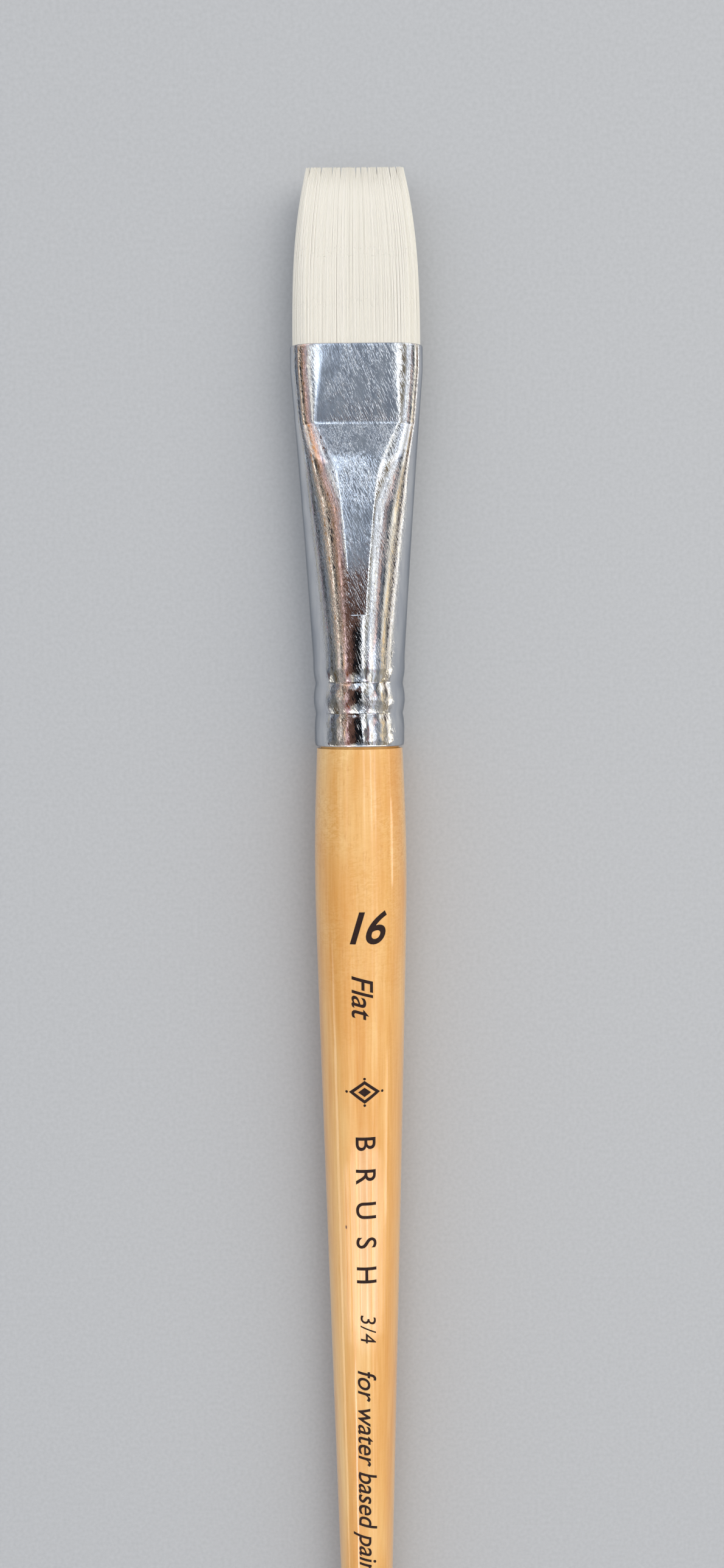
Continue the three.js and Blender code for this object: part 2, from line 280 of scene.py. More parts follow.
# Nylon filament, extruded, tapered in a bath and cut. It gives ivory threads with a satin shine,
# each a little lighter or darker than its neighbours.
def syntheticHair():
    material, tree, shader, coords = newMaterial("tapered nylon filament")
    tone = addNode(tree, "Attribute", {"attribute_name": "tone"}, output="Fac")
    base = addNode(tree, "ValToRGB", {"stops": [(0.0, "#E3DFD3"), (0.5, "#E9E5DB"), (1.0, "#EFEBE3")]},
                   {"Fac": tone})
    tree.links.new(base, shader.inputs["Base Color"])
    sheenSize = addNode(tree, "Mapping", {"vector_type": "TEXTURE", "Scale": inMm(0.3, 1.8, 0.3)},
                        {"Vector": coords})
    sheen = addNode(tree, "TexNoise", {"Scale": 1.0, "Detail": 2.0}, {"Vector": sheenSize})
    rough = addNode(tree, "MapRange", {"To Min": 0.42, "To Max": 0.6}, {"Value": sheen})
    tree.links.new(rough, shader.inputs["Roughness"])
    shader.inputs["IOR"].default_value = 1.53
    return material


# Epoxy poured in behind the hair and left to set: amber, glassy, with small bubbles.
def setResin():
    material, tree, shader, coords = newMaterial("amber set epoxy")
    cloudSize = addNode(tree, "Mapping", {"vector_type": "TEXTURE", "Scale": inMm(2, 2, 2)},
                        {"Vector": coords})
    clouds = addNode(tree, "TexNoise", {"Scale": 1.0, "Detail": 3.0}, {"Vector": cloudSize})
    base = addNode(tree, "ValToRGB", {"stops": [(0.3, "#8A5A22"), (0.7, "#C08A44")]}, {"Fac": clouds})
    tree.links.new(base, shader.inputs["Base Color"])
    shader.inputs["Roughness"].default_value = 0.25
    bubbleSize = addNode(tree, "Mapping", {"vector_type": "TEXTURE", "Scale": inMm(0.8, 0.8, 0.8)},
                         {"Vector": coords})
    bubbles = addNode(tree, "TexVoronoi", {"Scale": 1.0}, {"Vector": bubbleSize})
    bump = addNode(tree, "Bump", {"Strength": 0.4, "Distance": 0.1 * mm}, {"Height": bubbles})
    tree.links.new(bump, shader.inputs["Normal"])
    return material


# Wood adhesive squeezed out ahead of the tenon and dried: cream, dull and lumpy.
def driedGlue():
    material, tree, shader, coords = newMaterial("dried cream wood glue")
    lumpSize = addNode(tree, "Mapping", {"vector_type": "TEXTURE", "Scale": inMm(1.2, 1.2, 1.2)},
                       {"Vector": coords})
    lumps = addNode(tree, "TexNoise", {"Scale": 1.0, "Detail": 4.0}, {"Vector": lumpSize})
    base = addNode(tree, "ValToRGB", {"stops": [(0.3, "#CDBF93"), (0.7, "#E6DCBC")]}, {"Fac": lumps})
    tree.links.new(base, shader.inputs["Base Color"])
    shader.inputs["Roughness"].default_value = 0.5
    bump = addNode(tree, "Bump", {"Strength": 0.5, "Distance": 0.2 * mm}, {"Height": lumps})
    tree.links.new(bump, shader.inputs["Normal"])
    return material


# Pad-printed ink, brown-black, half matt, a little thin in places.
def printedInk():
    material, tree, shader, coords = newMaterial("pad-printed brown-black ink")
    wearSize = addNode(tree, "Mapping", {"vector_type": "TEXTURE", "Scale": inMm(0.35, 0.35, 0.35)},
                       {"Vector": coords})
    wear = addNode(tree, "TexNoise", {"Scale": 1.0, "Detail": 4.0}, {"Vector": wearSize})
    base = addNode(tree, "ValToRGB", {"stops": [(0.3, "#1A0E0C"), (0.75, "#2C1813")]}, {"Fac": wear})
    tree.links.new(base, shader.inputs["Base Color"])
    shader.inputs["Roughness"].default_value = 0.6
    shader.inputs["Specular IOR Level"].default_value = 0.25
    return material


woodFinish = lacqueredWood()
plateFinish = platedFerrule()
hairFinish = syntheticHair()
inkFinish = printedInk()
print("materials made")


# ferrule
ferruleSizes = {
    "wall": 0.35, "mouthThickness": 4.7, "mouthStraight": 3.5, "sideBow": 0.15,
    "panelDepth": 11.5,  # the flat panel behind the lip, up to its crease
    "panelFlat": 5.2, "creaseFlat": 6.3,  # half-widths of the flat at the lip and at the crease
    "panelFlatFrom": 1.0,  # where the flat starts to widen towards the crease
    "creaseBefore": 0.25, "creaseAfter": 0.35,  # how far the bend of the crease runs each way
    "shoulderSlope": 0.3, "webSlope": 0.105, "shoulderEnd": 17.6, "shoulderEase": 2.6,
    "webFoot": 2.9, "webFootDepth": 19.5, "webTip": 1.1,  # half-widths of the pressed web
    "webFootPower": 1.5, "webTipPower": 1.25,  # over 1, so the web narrows fastest at first
    "webFade": 6,  # how far ahead of the round tube the web ends
    "webStep": 0.06,  # half the length of the step that ends it
    "boxy": 6.0,  # exponent across the panel's section, where 2 makes an ellipse
    "boxyBefore": 1.5, "ellipseDepth": 25.0,  # the section goes from one to the other between
    "roundLength": 13.3, "roundEase": 5,
    "crimpHeight": 0.35, "crimpHalfLength": 2.2, "crimpPower": 1.7, "crimpSpacing": 4.6,
    "crimpSoft": 0.08,  # rounds the bottom of each groove
    "cuffLength": 4.9, "cuffStep": 0.1, "rolledStep": 0.15, "rolledLength": 1.0,
    "crimpDent": 0.028,  # how uneven the crimping jaws left the tube
    "dentFrom": (2.5, 0.5),  # the dents come in over this length ahead of the first groove
    "dentTo": 0.8,  # and go out over this length at the tube's end
    # waves of the dents: turns of phase round the tube, along it, and where each one starts
    "dentWaves": [(19, 2.1, 0), (31, -3.4, 1.3), (12, 4.6, 0.7), (43, 1.1, 2.9)],
    "slopeSteps": 4001,  # steps of the sum that gives the height of the flat
    # rings: how far apart, how many at each bend as (from, to, count), and how many elsewhere
    "ringSpacing": 0.35, "creaseRings": (-0.6, 0.8, 15), "stepRings": (-0.3, 0.3, 13),
    "roundRings": 150, "lipRings": 9, "insideRings": 60,
    "flatSteps": 24, "sideSteps": 44,  # corners of each ring across the flat and up each side
}


def topOf(depth):
    # Height of the flat and of the web: the running sum of a slope that is nothing along the
    # panel, steep over the shoulder, gentle along the web and nothing along the round tube.
    s = ferruleSizes
    roundDepth = ferruleLength - s["roundLength"]
    fine = np.linspace(0, ferruleLength, s["slopeSteps"])
    slope = lerp(s["shoulderSlope"], s["webSlope"],
                 ease(fine, s["shoulderEnd"] - s["shoulderEase"], s["shoulderEnd"] + s["shoulderEase"]))
    slope = slope * ease(fine, s["panelDepth"] - s["creaseBefore"], s["panelDepth"] + s["creaseAfter"])
    slope = slope * (1 - ease(fine, roundDepth - s["roundEase"], roundDepth))
    rise = np.cumsum(slope)
    tubeFlat = math.sqrt(tubeRadius ** 2 - s["webTip"] ** 2)
    return lerp(s["mouthThickness"] / 2, tubeFlat, np.interp(depth, fine, rise / rise[-1]))


def ferruleForm(depth):
    # Half-width, half-flat, height of the flat, and the section's exponent at each depth. The
    # half-width goes to the tube's radius along a parabola, and the half-flat widens to the crease,
    # then narrows to the web's foot and to its tip as 1 - (1 - share) ** power.
    s = ferruleSizes
    mouthHalfWidth = (ferruleHigh[0] - ferruleLow[0]) / 2
    roundDepth = ferruleLength - s["roundLength"]
    tipDepth = roundDepth - s["webFade"]
    along = np.clip((depth - s["mouthStraight"]) / (roundDepth - s["mouthStraight"]), 0, 1)
    bow = 1 + s["sideBow"] - s["sideBow"] * along
    halfWidth = lerp(mouthHalfWidth, tubeRadius, along * bow)
    halfFlat = lerp(s["panelFlat"], s["creaseFlat"], ease(depth, s["panelFlatFrom"], s["panelDepth"]))
    narrowing = np.clip((depth - s["panelDepth"]) / (s["webFootDepth"] - s["panelDepth"]), 0, 1)
    halfFlat = lerp(halfFlat, s["webFoot"], 1 - (1 - narrowing) ** s["webFootPower"])
    web = np.clip((depth - s["webFootDepth"]) / (tipDepth - s["webFootDepth"]), 0, 1)
    halfFlat = lerp(halfFlat, s["webTip"], 1 - (1 - web) ** s["webTipPower"])
    boxy = lerp(s["boxy"], 2.0, ease(depth, s["panelDepth"] - s["boxyBefore"], s["ellipseDepth"]))
    return halfWidth, halfFlat, topOf(depth), boxy


def rolledIn(depth):
    # How far the tube is rolled in: two grooves with a full bead between, a cuff, a turned end. A
    # groove is (1 - distance from its middle) ** power, and the turned end is a parabola.
    s = ferruleSizes
    last = ferruleLength - s["cuffLength"]
    total = s["cuffStep"] * ease(depth, last, last + s["crimpHalfLength"])
    for centre in (last - s["crimpSpacing"], last):
        away = np.minimum(np.hypot(depth - centre, s["crimpSoft"]) / s["crimpHalfLength"], 1)
        total = total + s["crimpHeight"] * (1 - away) ** s["crimpPower"]
    turned = np.clip((depth - ferruleLength + s["rolledLength"]) / s["rolledLength"], 0, 1)
    return total + s["rolledStep"] * turned ** 2


def crimpDents(depth, turn):
    # Shallow waves round and along the crimped end, as crossing sines that fade out.
    s = ferruleSizes
    first = ferruleLength - s["cuffLength"] - s["crimpSpacing"]
    start, full = s["dentFrom"]
    near = ease(depth, first - start, first - full)
    near = near * (1 - ease(depth, ferruleLength - s["dentTo"], ferruleLength))
    waves = sum(np.sin(around * turn + along * depth + shift) for around, along, shift in s["dentWaves"])
    return s["crimpDent"] * near * (waves / len(s["dentWaves"]) + 1) / 2


def ferruleRings(depth, inset):
    # Rings across the ferrule. The section is |x / halfWidth| ** boxy + (z / crown) ** 2 = 1, cut
    # off level at plus and minus halfFlat until the web's tip, where the cut ends in a step.
    s = ferruleSizes
    halfWidth, halfFlat, top, boxy = (v[:, None] for v in ferruleForm(depth))
    inset = (inset + rolledIn(depth))[:, None]
    tipDepth = ferruleLength - s["roundLength"] - s["webFade"]
    pressed = 1 - ease(depth[:, None], tipDepth - s["webStep"], tipDepth + s["webStep"])
    crown = top / np.sqrt(1 - (halfFlat / halfWidth) ** boxy)
    across = 1 - 2 * np.arange(1, s["flatSteps"])[None, :] / s["flatSteps"]
    flatX = halfFlat * across
    flatZ = lerp(crown * np.sqrt(1 - np.abs(flatX / halfWidth) ** boxy), top, pressed)
    edge = np.arcsin(np.clip(top / crown, -1, 1))
    side = edge * np.arange(-s["sideSteps"], s["sideSteps"] + 1)[None, :] / s["sideSteps"]
    sideX = halfWidth * np.cos(side) ** (2 / boxy)
    sideZ = crown * np.sin(side)
    x = np.concatenate([sideX, flatX, -sideX, -flatX], axis=1)
    z = np.concatenate([sideZ, flatZ, -sideZ, -flatZ], axis=1)
    inset = inset + crimpDents(depth[:, None], np.arctan2(z, x))
    return place(x * (1 - inset / halfWidth), depth[:, None], z * (1 - inset / crown))


def buildFerrule():
    # One closed surface: the outside, a half-round lip at each end, and the inside a wall away.
    s = ferruleSizes
    half = s["wall"] / 2
    roundDepth = ferruleLength - s["roundLength"]
    tipDepth = roundDepth - s["webFade"]
    outside = np.unique(np.round(np.concatenate([
        np.arange(half, roundDepth, s["ringSpacing"]),
        s["panelDepth"] + np.linspace(*s["creaseRings"]),
        tipDepth + np.linspace(*s["stepRings"]),
        np.linspace(roundDepth, ferruleLength - half, s["roundRings"]),
    ]), 4))
    lipTurn = np.linspace(0, np.pi, s["lipRings"])[1:-1]
    inside = np.linspace(ferruleLength - half, half, s["insideRings"])
    depth = np.concatenate([
        outside, ferruleLength - half + half * np.sin(lipTurn), inside, half - half * np.sin(lipTurn),
    ])
    inset = np.concatenate([
        np.zeros(len(outside)), half - half * np.cos(lipTurn),
        np.full(len(inside), s["wall"]), half + half * np.cos(lipTurn),
    ])
    rings = ferruleRings(depth, inset)
    piece = meshFrom("ferrule_tube", rings,
                     ringFaces(rings.shape[0], rings.shape[1], loop=True).tolist())
    piece.data.materials.append(plateFinish)
    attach(piece, "grip")
    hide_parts("ferrule")
    print("ferrule:", rings.shape[0], "rings of", rings.shape[1])


buildFerrule()


# handle
handleSizes = {
    "fitGap": 0.3, "tenonLength": 16, "tenonChamfer": 0.8,
    "bellySwell": 0.525, "bellyDistance": 18.8, "bellyRounding": 8,
    "tailDiameter": 4.2, "neckEdge": 0.15,
    "around": 128, "tenonRings": 40, "edgeRings": 6, "bodyRings": 260, "tailRings": 14,
}


def handleRadius(depth):
    # Radius of the seen wood: a quarter sine up to the belly, then a hyperbola down to the tail.
    s = handleSizes
    neckDepth = ferruleLength + s["fitGap"]
    bellyDepth = neckDepth + s["bellyDistance"]
    tailRadius = s["tailDiameter"] / 2
    taperLength = tailDepth - tailRadius - bellyDepth
    swell = np.clip((depth - neckDepth) / s["bellyDistance"], 0, 1)
    front = bellyRadius - s["bellySwell"] * (1 - np.sin(swell * np.pi / 2))
    length = np.maximum(depth - bellyDepth, 0)
    fall = np.hypot(length, s["bellyRounding"]) - s["bellyRounding"]
    fullFall = np.hypot(taperLength, s["bellyRounding"]) - s["bellyRounding"]
    back = lerp(bellyRadius, tailRadius, fall / fullFall)
    return np.where(depth < bellyDepth, front, back)


def buildHandle():
    # Rings about the axis: the tenon, the eased shoulder, the seen wood and a half-round tail.
    s = handleSizes
    neckDepth = ferruleLength + s["fitGap"]
    tailRadius = s["tailDiameter"] / 2
    bodyEnd = tailDepth - tailRadius
    tenonTop = ferruleLength - s["tenonLength"]
    tenonDepth = np.linspace(tenonTop + s["tenonChamfer"], ferruleLength, s["tenonRings"])
    tenonRadius = tubeRadius - rolledIn(tenonDepth) - ferruleSizes["wall"] - s["fitGap"]
    edgeTurn = np.linspace(0, np.pi / 2, s["edgeRings"])
    edgeDepth = neckDepth + s["neckEdge"] * (1 - np.cos(edgeTurn))
    edgeRadius = handleRadius(neckDepth + s["neckEdge"]) - s["neckEdge"] * (1 - np.sin(edgeTurn))
    bodyDepth = np.linspace(neckDepth + s["neckEdge"], bodyEnd, s["bodyRings"])[1:]
    tailTurn = np.linspace(0, np.pi / 2, s["tailRings"])[1:-1]
    depth = np.concatenate([
        [tenonTop], tenonDepth, [neckDepth], edgeDepth, bodyDepth, bodyEnd + tailRadius * np.sin(tailTurn)])
    radius = np.concatenate([
        [tenonRadius[0] - s["tenonChamfer"]], tenonRadius, [tenonRadius[-1]], edgeRadius,
        handleRadius(bodyDepth), tailRadius * np.cos(tailTurn)])
    turn = 2 * np.pi * np.arange(s["around"]) / s["around"]
    rings = place(radius[:, None] * np.cos(turn), depth[:, None], radius[:, None] * np.sin(turn))
    ends = place(np.zeros(2), np.array([tenonTop, tailDepth]), np.zeros(2))
    corner = np.arange(s["around"])
    nextCorner = (corner + 1) % s["around"]
    last = (len(depth) - 1) * s["around"]
    tip = np.full(s["around"], len(depth) * s["around"])
    faces = ringFaces(*rings.shape[:2]).tolist()
    faces += np.stack([tip, nextCorner, corner], axis=1).tolist()
    faces += np.stack([tip + 1, last + corner, last + nextCorner], axis=1).tolist()
    piece = meshFrom("handle_wood", np.concatenate([rings.reshape(-1, 3), ends]), faces)
    piece.data.materials.append(woodFinish)
    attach(piece, "grip")
    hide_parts("handle")
    print("handle:", len(depth), "rings")


buildHandle()


# hair
hairSizes = {
    "width": 19.0, "thickness": 3.95, "toeWidth": 14.4, "toeThickness": 1.1,
    "widthPower": 2.5, "thicknessPower": 1.2,
    "rows": 16, "columns": 118,  # filaments through and across the tuft
    "diameter": 0.2, "tipDiameter": 0.09, "taperLength": 4.0,
    "inside": 3.0,  # length that is drawn inside the mouth
    "edgeRound": (1.5, 1.0),  # rounding of the tuft's sides at mouth and toe, in half-thicknesses
    "edgeLimit": 0.98,  # keeps a little thickness at the very sides
    "around": 5, "heelSteps": 7, "bellySteps": 6, "toeSteps": 8, "endShare": 0.01,
    # where the toe parts: share of its half-width, and how far back the gap runs
    "notches": [(-0.92, 0.6), (-0.68, 0.9), (-0.45, 0.7), (-0.28, 1.0), (0.02, 1.1), (0.12, 0.8),
                (0.25, 0.9), (0.44, 1.1), (0.71, 2.4), (0.84, 0.9)],
    "notchWidth": 0.27, "notchSpread": 0.45,
    "jitter": 0.16, "wander": 0.01, "wanderWaves": (2.6, 7.0, 6.0), "toneSpread": 0.13,
    "cutRagged": 0.07, "bendHalf": 2.5, "joinSpread": 0.85, "seed": 16,
}


def hairStarts(random):
    # A jittered grid over the mouth's section, in shares of its half-width and half-thickness.
    s = hairSizes
    column, row = np.meshgrid(np.arange(s["columns"]), np.arange(s["rows"]))
    across = (column + 0.5 * (row % 2)) / (s["columns"] - 0.5) * 2 - 1
    through = row / (s["rows"] - 1) * 2 - 1
    across = across + random.normal(0, s["jitter"] / s["columns"], across.shape)
    through = through + random.normal(0, s["jitter"] / s["rows"], through.shape)
    return np.clip(across.ravel(), -1, 1), np.clip(through.ravel(), -1, 1)


def hairPoints(across, through, wander, reach):
    # Centre points of each filament at its own reaches. A filament keeps its share of the tuft's
    # half-width and half-thickness, wanders by slow sines, and leans away from the gaps at the toe.
    s = hairSizes
    across, through = across[:, None], through[:, None]
    part = np.clip(reach / hairReach, 0, 1)
    halfWidth = lerp(s["width"], s["toeWidth"], part ** s["widthPower"]) / 2
    halfThickness = lerp(s["thickness"], s["toeThickness"], part ** s["thicknessPower"]) / 2
    x = across * (halfWidth - s["diameter"] / 2)
    flat = halfWidth - lerp(*s["edgeRound"], part) * halfThickness
    past = np.clip((np.abs(x) - flat) / (halfWidth - flat), 0, s["edgeLimit"])
    room = (halfThickness - s["diameter"] / 2) * np.sqrt(1 - past ** 2)
    slow, quick, up = s["wanderWaves"]
    z = through * room + s["wander"] * wander[:, 2:3] * np.sin(part * up)
    drift = wander[:, :1] * np.sin(part * slow) + wander[:, 1:2] * np.sin(part * quick)
    x = x + s["wander"] * drift
    for share, back in s["notches"]:
        away = x - share * halfWidth
        gap = np.clip(1 - (hairReach - reach) / back, 0, 1) * s["notchWidth"] / 2
        side = np.where(across > share, 1.0, -1.0)
        x = x + side * gap * np.exp(-np.abs(away) / s["notchSpread"])
    return x, z


def buildHair():
    # Each filament is a five-sided tube, its radius tapering over a set length at the toe.
    s = hairSizes
    random = np.random.default_rng(s["seed"])
    across, through = hairStarts(random)
    count = len(across)
    wander = random.normal(0, 1, (count, 3))
    cut = hairReach - np.abs(random.normal(0, s["cutRagged"], count))
    tone = np.clip(random.normal(0.5, s["toneSpread"], count), 0, 1)
    heel, belly, toe = (jointReach[n] for n in ("heel_flex", "belly_flex", "toe_flex"))
    # the three lengths meet where nothing bends, each filament at a place of its own
    firstJoin = (heel + belly) / 2 + s["joinSpread"] * random.uniform(-1, 1, count)
    secondJoin = (belly + toe) / 2 + s["joinSpread"] * random.uniform(-1, 1, count)
    # name, start and end, rings, bodies and the joint that it bends at, CAD nodes it stands for
    spans = [
        ("hair_heel_filaments", np.full(count, -s["inside"]), firstJoin, s["heelSteps"],
         ("grip", "heel"), heel, ("hair_root", "hair_heel")),
        ("hair_belly_filaments", firstJoin, secondJoin, s["bellySteps"],
         ("heel", "belly"), belly, ("hair_belly",)),
        ("hair_toe_filaments", secondJoin, cut, s["toeSteps"],
         ("belly", "toe"), toe, ("hair_toe",)),
    ]
    near = s["endShare"]
    turn = 2 * np.pi * np.arange(s["around"]) / s["around"]
    for name, start, end, steps, bodies, pivot, nodes in spans:
        # from the toe back to the mouth, with a ring close to each end to keep the sides straight
        share = np.concatenate([[1, 1 - near], np.linspace(1, 0, steps)[1:-1], [near, 0]])[None, :]
        reach = start[:, None] + (end - start)[:, None] * share
        x, z = hairPoints(across, through, wander, reach)
        fromTip = np.maximum(cut[:, None] - reach, 0)
        radius = lerp(s["tipDiameter"], s["diameter"], np.clip(fromTip / s["taperLength"], 0, 1)) / 2
        x, z, reach, radius = (v[:, :, None] for v in (x, z, reach, radius))
        points = place(x + radius * np.cos(turn), -reach, z + radius * np.sin(turn))
        rings, around = points.shape[1:3]
        first = np.arange(count)[:, None, None] * rings * around
        sides = (ringFaces(rings, around)[None] + first).reshape(-1, 4).tolist()
        corner = np.arange(around)
        toeEnds = (corner[::-1] + first[:, 0]).tolist()
        rootEnds = (corner + (rings - 1) * around + first[:, 0]).tolist()
        piece = meshFrom(name, points, sides + toeEnds + rootEnds)
        smooth = np.ones(len(piece.data.polygons), bool)
        smooth[-2 * count:] = False  # the cut ends are flat
        piece.data.polygons.foreach_set("use_smooth", smooth)
        shade = piece.data.attributes.new("tone", "FLOAT", "POINT")
        shade.data.foreach_set("value", np.repeat(tone, rings * around).astype(np.float32))
        piece.data.materials.append(hairFinish)
        tuple(place(0, s["bendHalf"] - pivot, 0))
        tuple(place(0, -s["bendHalf"] - pivot, 0))
        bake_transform(piece)
        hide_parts(*nodes)
        print(name, "has", len(piece.data.polygons), "faces")


buildHair()


# hidden pieces
def dress(node, material):
    slots = frame["nodes"][node].data.materials
    slots.clear()
    slots.append(material)


dress("hair_cement", setResin())
dress("handle_glue", driedGlue())
print("hidden pieces dressed")


# marks
# depth is where a mark starts, side how far its base line is from the middle of the handle, both
# in mm; a mark that reads down the handle has its letters' tops towards +X
marks = [
    {"name": "mark_size", "text": "16", "depth": 88.6, "side": -3.0, "height": 5.0, "lean": 0.3,
     "bold": 0.1, "spread": 0.9, "down": False},
    {"name": "mark_shape", "text": "Flat", "depth": 93.2, "side": -1.5, "height": 3.4, "lean": 0.28,
     "bold": 0.025, "spread": 0.98, "down": True},
    {"name": "mark_word", "text": "BRUSH", "depth": 118.3, "side": -1.1, "height": 3.2, "lean": 0.0,
     "bold": 0.03, "spread": 2.2, "down": True},
    {"name": "mark_width", "text": "3/4", "depth": 146.9, "side": -0.6, "height": 2.5, "lean": 0.2,
     "bold": 0.0, "spread": 1.1, "down": True},
    {"name": "mark_use", "text": "for water based paint", "depth": 156.0, "side": -1.1,
     "height": 3.0, "lean": 0.28, "bold": 0.025, "spread": 1.0, "down": True},
]
# the lozenge's ring and heart, and where its dots stand, are shares of its size
ornament = {"depth": 111.5, "side": 0.3, "across": 6.2, "along": 4.6, "ring": 0.78, "line": 0.32,
            "heart": 0.32, "dotsAt": 0.9, "dot": 0.42, "dotSides": 16}
markSizes = {
    "inkThickness": 0.02,
    "capShare": 0.73,  # height of a capital in the built-in font, as a share of its size
    "curveSteps": 6,  # pieces that each curve of a letter is cut into
    "strip": 0.35,  # width of the strips that a flat mark is cut into, to bend round the wood
    "join": 1e-4, "sliver": 0.005,  # corners and edges closer than these become one
}


def wrapOnHandle(piece, depth, side, down):
    # Bends a flat mark round the wood: distance across becomes arc, and height becomes radius.
    mesh = piece.data
    flat = np.zeros(len(mesh.vertices) * 3, np.float32)
    mesh.vertices.foreach_get("co", flat)
    u, v, height = flat.reshape(-1, 3).T.astype(float)
    down = 1.0 if down else 0.0
    atDepth = depth + lerp(-v, u, down)
    arc = side + lerp(u, v, down)
    radius = handleRadius(atDepth)
    angle = arc / radius
    radius = radius + height
    points = place(radius * np.sin(angle), atDepth, radius * np.cos(angle))
    mesh.vertices.foreach_set("co", points.astype(np.float32).ravel())
    mesh.update()


def flatToMesh(curve, name):
    # Turns a flat curve or text into a mesh, cut into narrow strips so that it can bend.
    s = markSizes
    source = bpy.data.objects.new(name + "_flat", curve)
    bpy.context.collection.objects.link(source)
    evaluated = source.evaluated_get(bpy.context.evaluated_depsgraph_get())
    mesh = bpy.data.meshes.new_from_object(evaluated)
    mesh.name = name
    bpy.data.objects.remove(source)
    work = bmesh.new()
    work.from_mesh(mesh)
    bmesh.ops.remove_doubles(work, verts=work.verts, dist=s["join"])
    work.to_mesh(mesh)
    corners = np.zeros(len(mesh.vertices) * 3, np.float32)
    mesh.vertices.foreach_get("co", corners)
    low, high = (f(corners.reshape(-1, 3), axis=0).tolist() for f in (np.min, np.max))
    for axis in (0, 1):
        for k in range(1, int((high[axis] - low[axis]) / s["strip"]) + 1):
            point = [0, 0, 0]
            point[axis] = low[axis] + k * s["strip"]
            normal = [0, 0, 0]
            normal[axis] = 1
            geometry = work.verts[:] + work.edges[:] + work.faces[:]
            bmesh.ops.bisect_plane(work, geom=geometry, plane_co=point, plane_no=normal)
    bmesh.ops.triangulate(work, faces=work.faces)
    bmesh.ops.dissolve_degenerate(work, dist=s["sliver"], edges=work.edges)
    work.to_mesh(mesh)
    work.free()
    piece = bpy.data.objects.new(name, mesh)
    bpy.context.collection.objects.link(piece)
    return piece


def finishMark(piece):
    piece.data.materials.clear()
    piece.data.materials.append(inkFinish)
    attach(piece, "grip")


def outline(curve, points, line=None):
    # Adds a closed outline to a flat curve. With a line given, a second outline inside it, smaller
    # by that share, leaves only a line of ink.
    shares = (1.0,) if line is None else (1.0, 1 - line)
    for share in shares:
        spline = curve.splines.new("POLY")
        spline.points.add(len(points) - 1)
        spline.points.foreach_set("co", np.concatenate(
            [points * share, np.zeros((len(points), 1)), np.ones((len(points), 1))], axis=1).ravel())
        spline.use_cyclic_u = True


def buildOrnament():
    # A plain lozenge, a smaller solid one inside it, and four dots round them.
    o = ornament
    curve = bpy.data.curves.new("mark_lozenge", "CURVE")
    curve.dimensions = "2D"
    curve.fill_mode = "BOTH"
    curve.extrude = markSizes["inkThickness"]
    corners = np.array([[1, 0], [0, 1], [-1, 0], [0, -1]]) * [o["across"] / 2, o["along"] / 2]
    outline(curve, corners * o["ring"], line=o["line"])
    outline(curve, corners * o["heart"])
    turn = 2 * np.pi * np.arange(o["dotSides"]) / o["dotSides"]
    disc = np.stack([np.cos(turn), np.sin(turn)], axis=1) * o["dot"] / 2
    for corner in corners:
        outline(curve, disc + corner * o["dotsAt"])
    piece = flatToMesh(curve, "mark_lozenge")
    wrapOnHandle(piece, o["depth"], o["side"], down=False)
    finishMark(piece)


def buildMarks():
    for m in marks:
        text = bpy.data.curves.new(m["name"], "FONT")
        text.body = m["text"]
        text.size = m["height"] / markSizes["capShare"]
        text.shear = m["lean"]
        text.offset = m["bold"]
        text.space_character = m["spread"]
        text.extrude = markSizes["inkThickness"]
        text.resolution_u = markSizes["curveSteps"]
        piece = flatToMesh(text, m["name"])
        wrapOnHandle(piece, m["depth"], m["side"], m["down"])
        finishMark(piece)
    buildOrnament()
    print("marks:", len(marks) + 1)


buildMarks()


# camera, floor and light
cameraSizes = {
    "height": 180.0,  # over the brush's axis
    "behindMouth": 50.55, "side": 0.30,
    "tilt": 4.67, "roll": -0.49,  # degrees, towards the handle and about the line of sight
    "lens": 27.04, "sensor": 36.0, "nearest": 1.0, "farthest": 10000.0,
}


def makeCamera():
    c = cameraSizes
    data = bpy.data.cameras.new("camera")
    data.sensor_width, data.lens = c["sensor"], c["lens"]
    data.clip_start, data.clip_end = c["nearest"] * mm, c["farthest"] * mm
    camera = bpy.data.objects.new("camera", data)
    bpy.context.collection.objects.link(camera)
    where = Vector(place(c["side"], c["behindMouth"], c["height"]))
    tilt = Matrix.Rotation(math.radians(-c["tilt"]), 4, "X")
    roll = Matrix.Rotation(math.radians(c["roll"]), 4, "Z")
    camera.matrix_world = Matrix.Translation(where) @ (tilt @ roll)
    bpy.context.scene.camera = camera


floorHalf = 2500.0


def makeFloor():
    corners = np.array([[-1, -1, 0], [1, -1, 0], [1, 1, 0], [-1, 1, 0]]) * floorHalf * mm
    floor = meshFrom("floor", corners, [[0, 1, 2, 3]], smooth=False)
    material, tree, shader, coords = newMaterial("pale paper")
    grainSize = addNode(tree, "Mapping", {"vector_type": "TEXTURE", "Scale": inMm(0.6, 0.6, 0.6)},
                        {"Vector": coords})
    grain = addNode(tree, "TexNoise", {"Scale": 1.0, "Detail": 5.0}, {"Vector": grainSize})
    base = addNode(tree, "ValToRGB", {"stops": [(0.3, "#B2B4B7"), (0.7, "#BABCBF")]}, {"Fac": grain})
    tree.links.new(base, shader.inputs["Base Color"])
    shader.inputs["Roughness"].default_value = 0.9
    floor.data.materials.append(material)


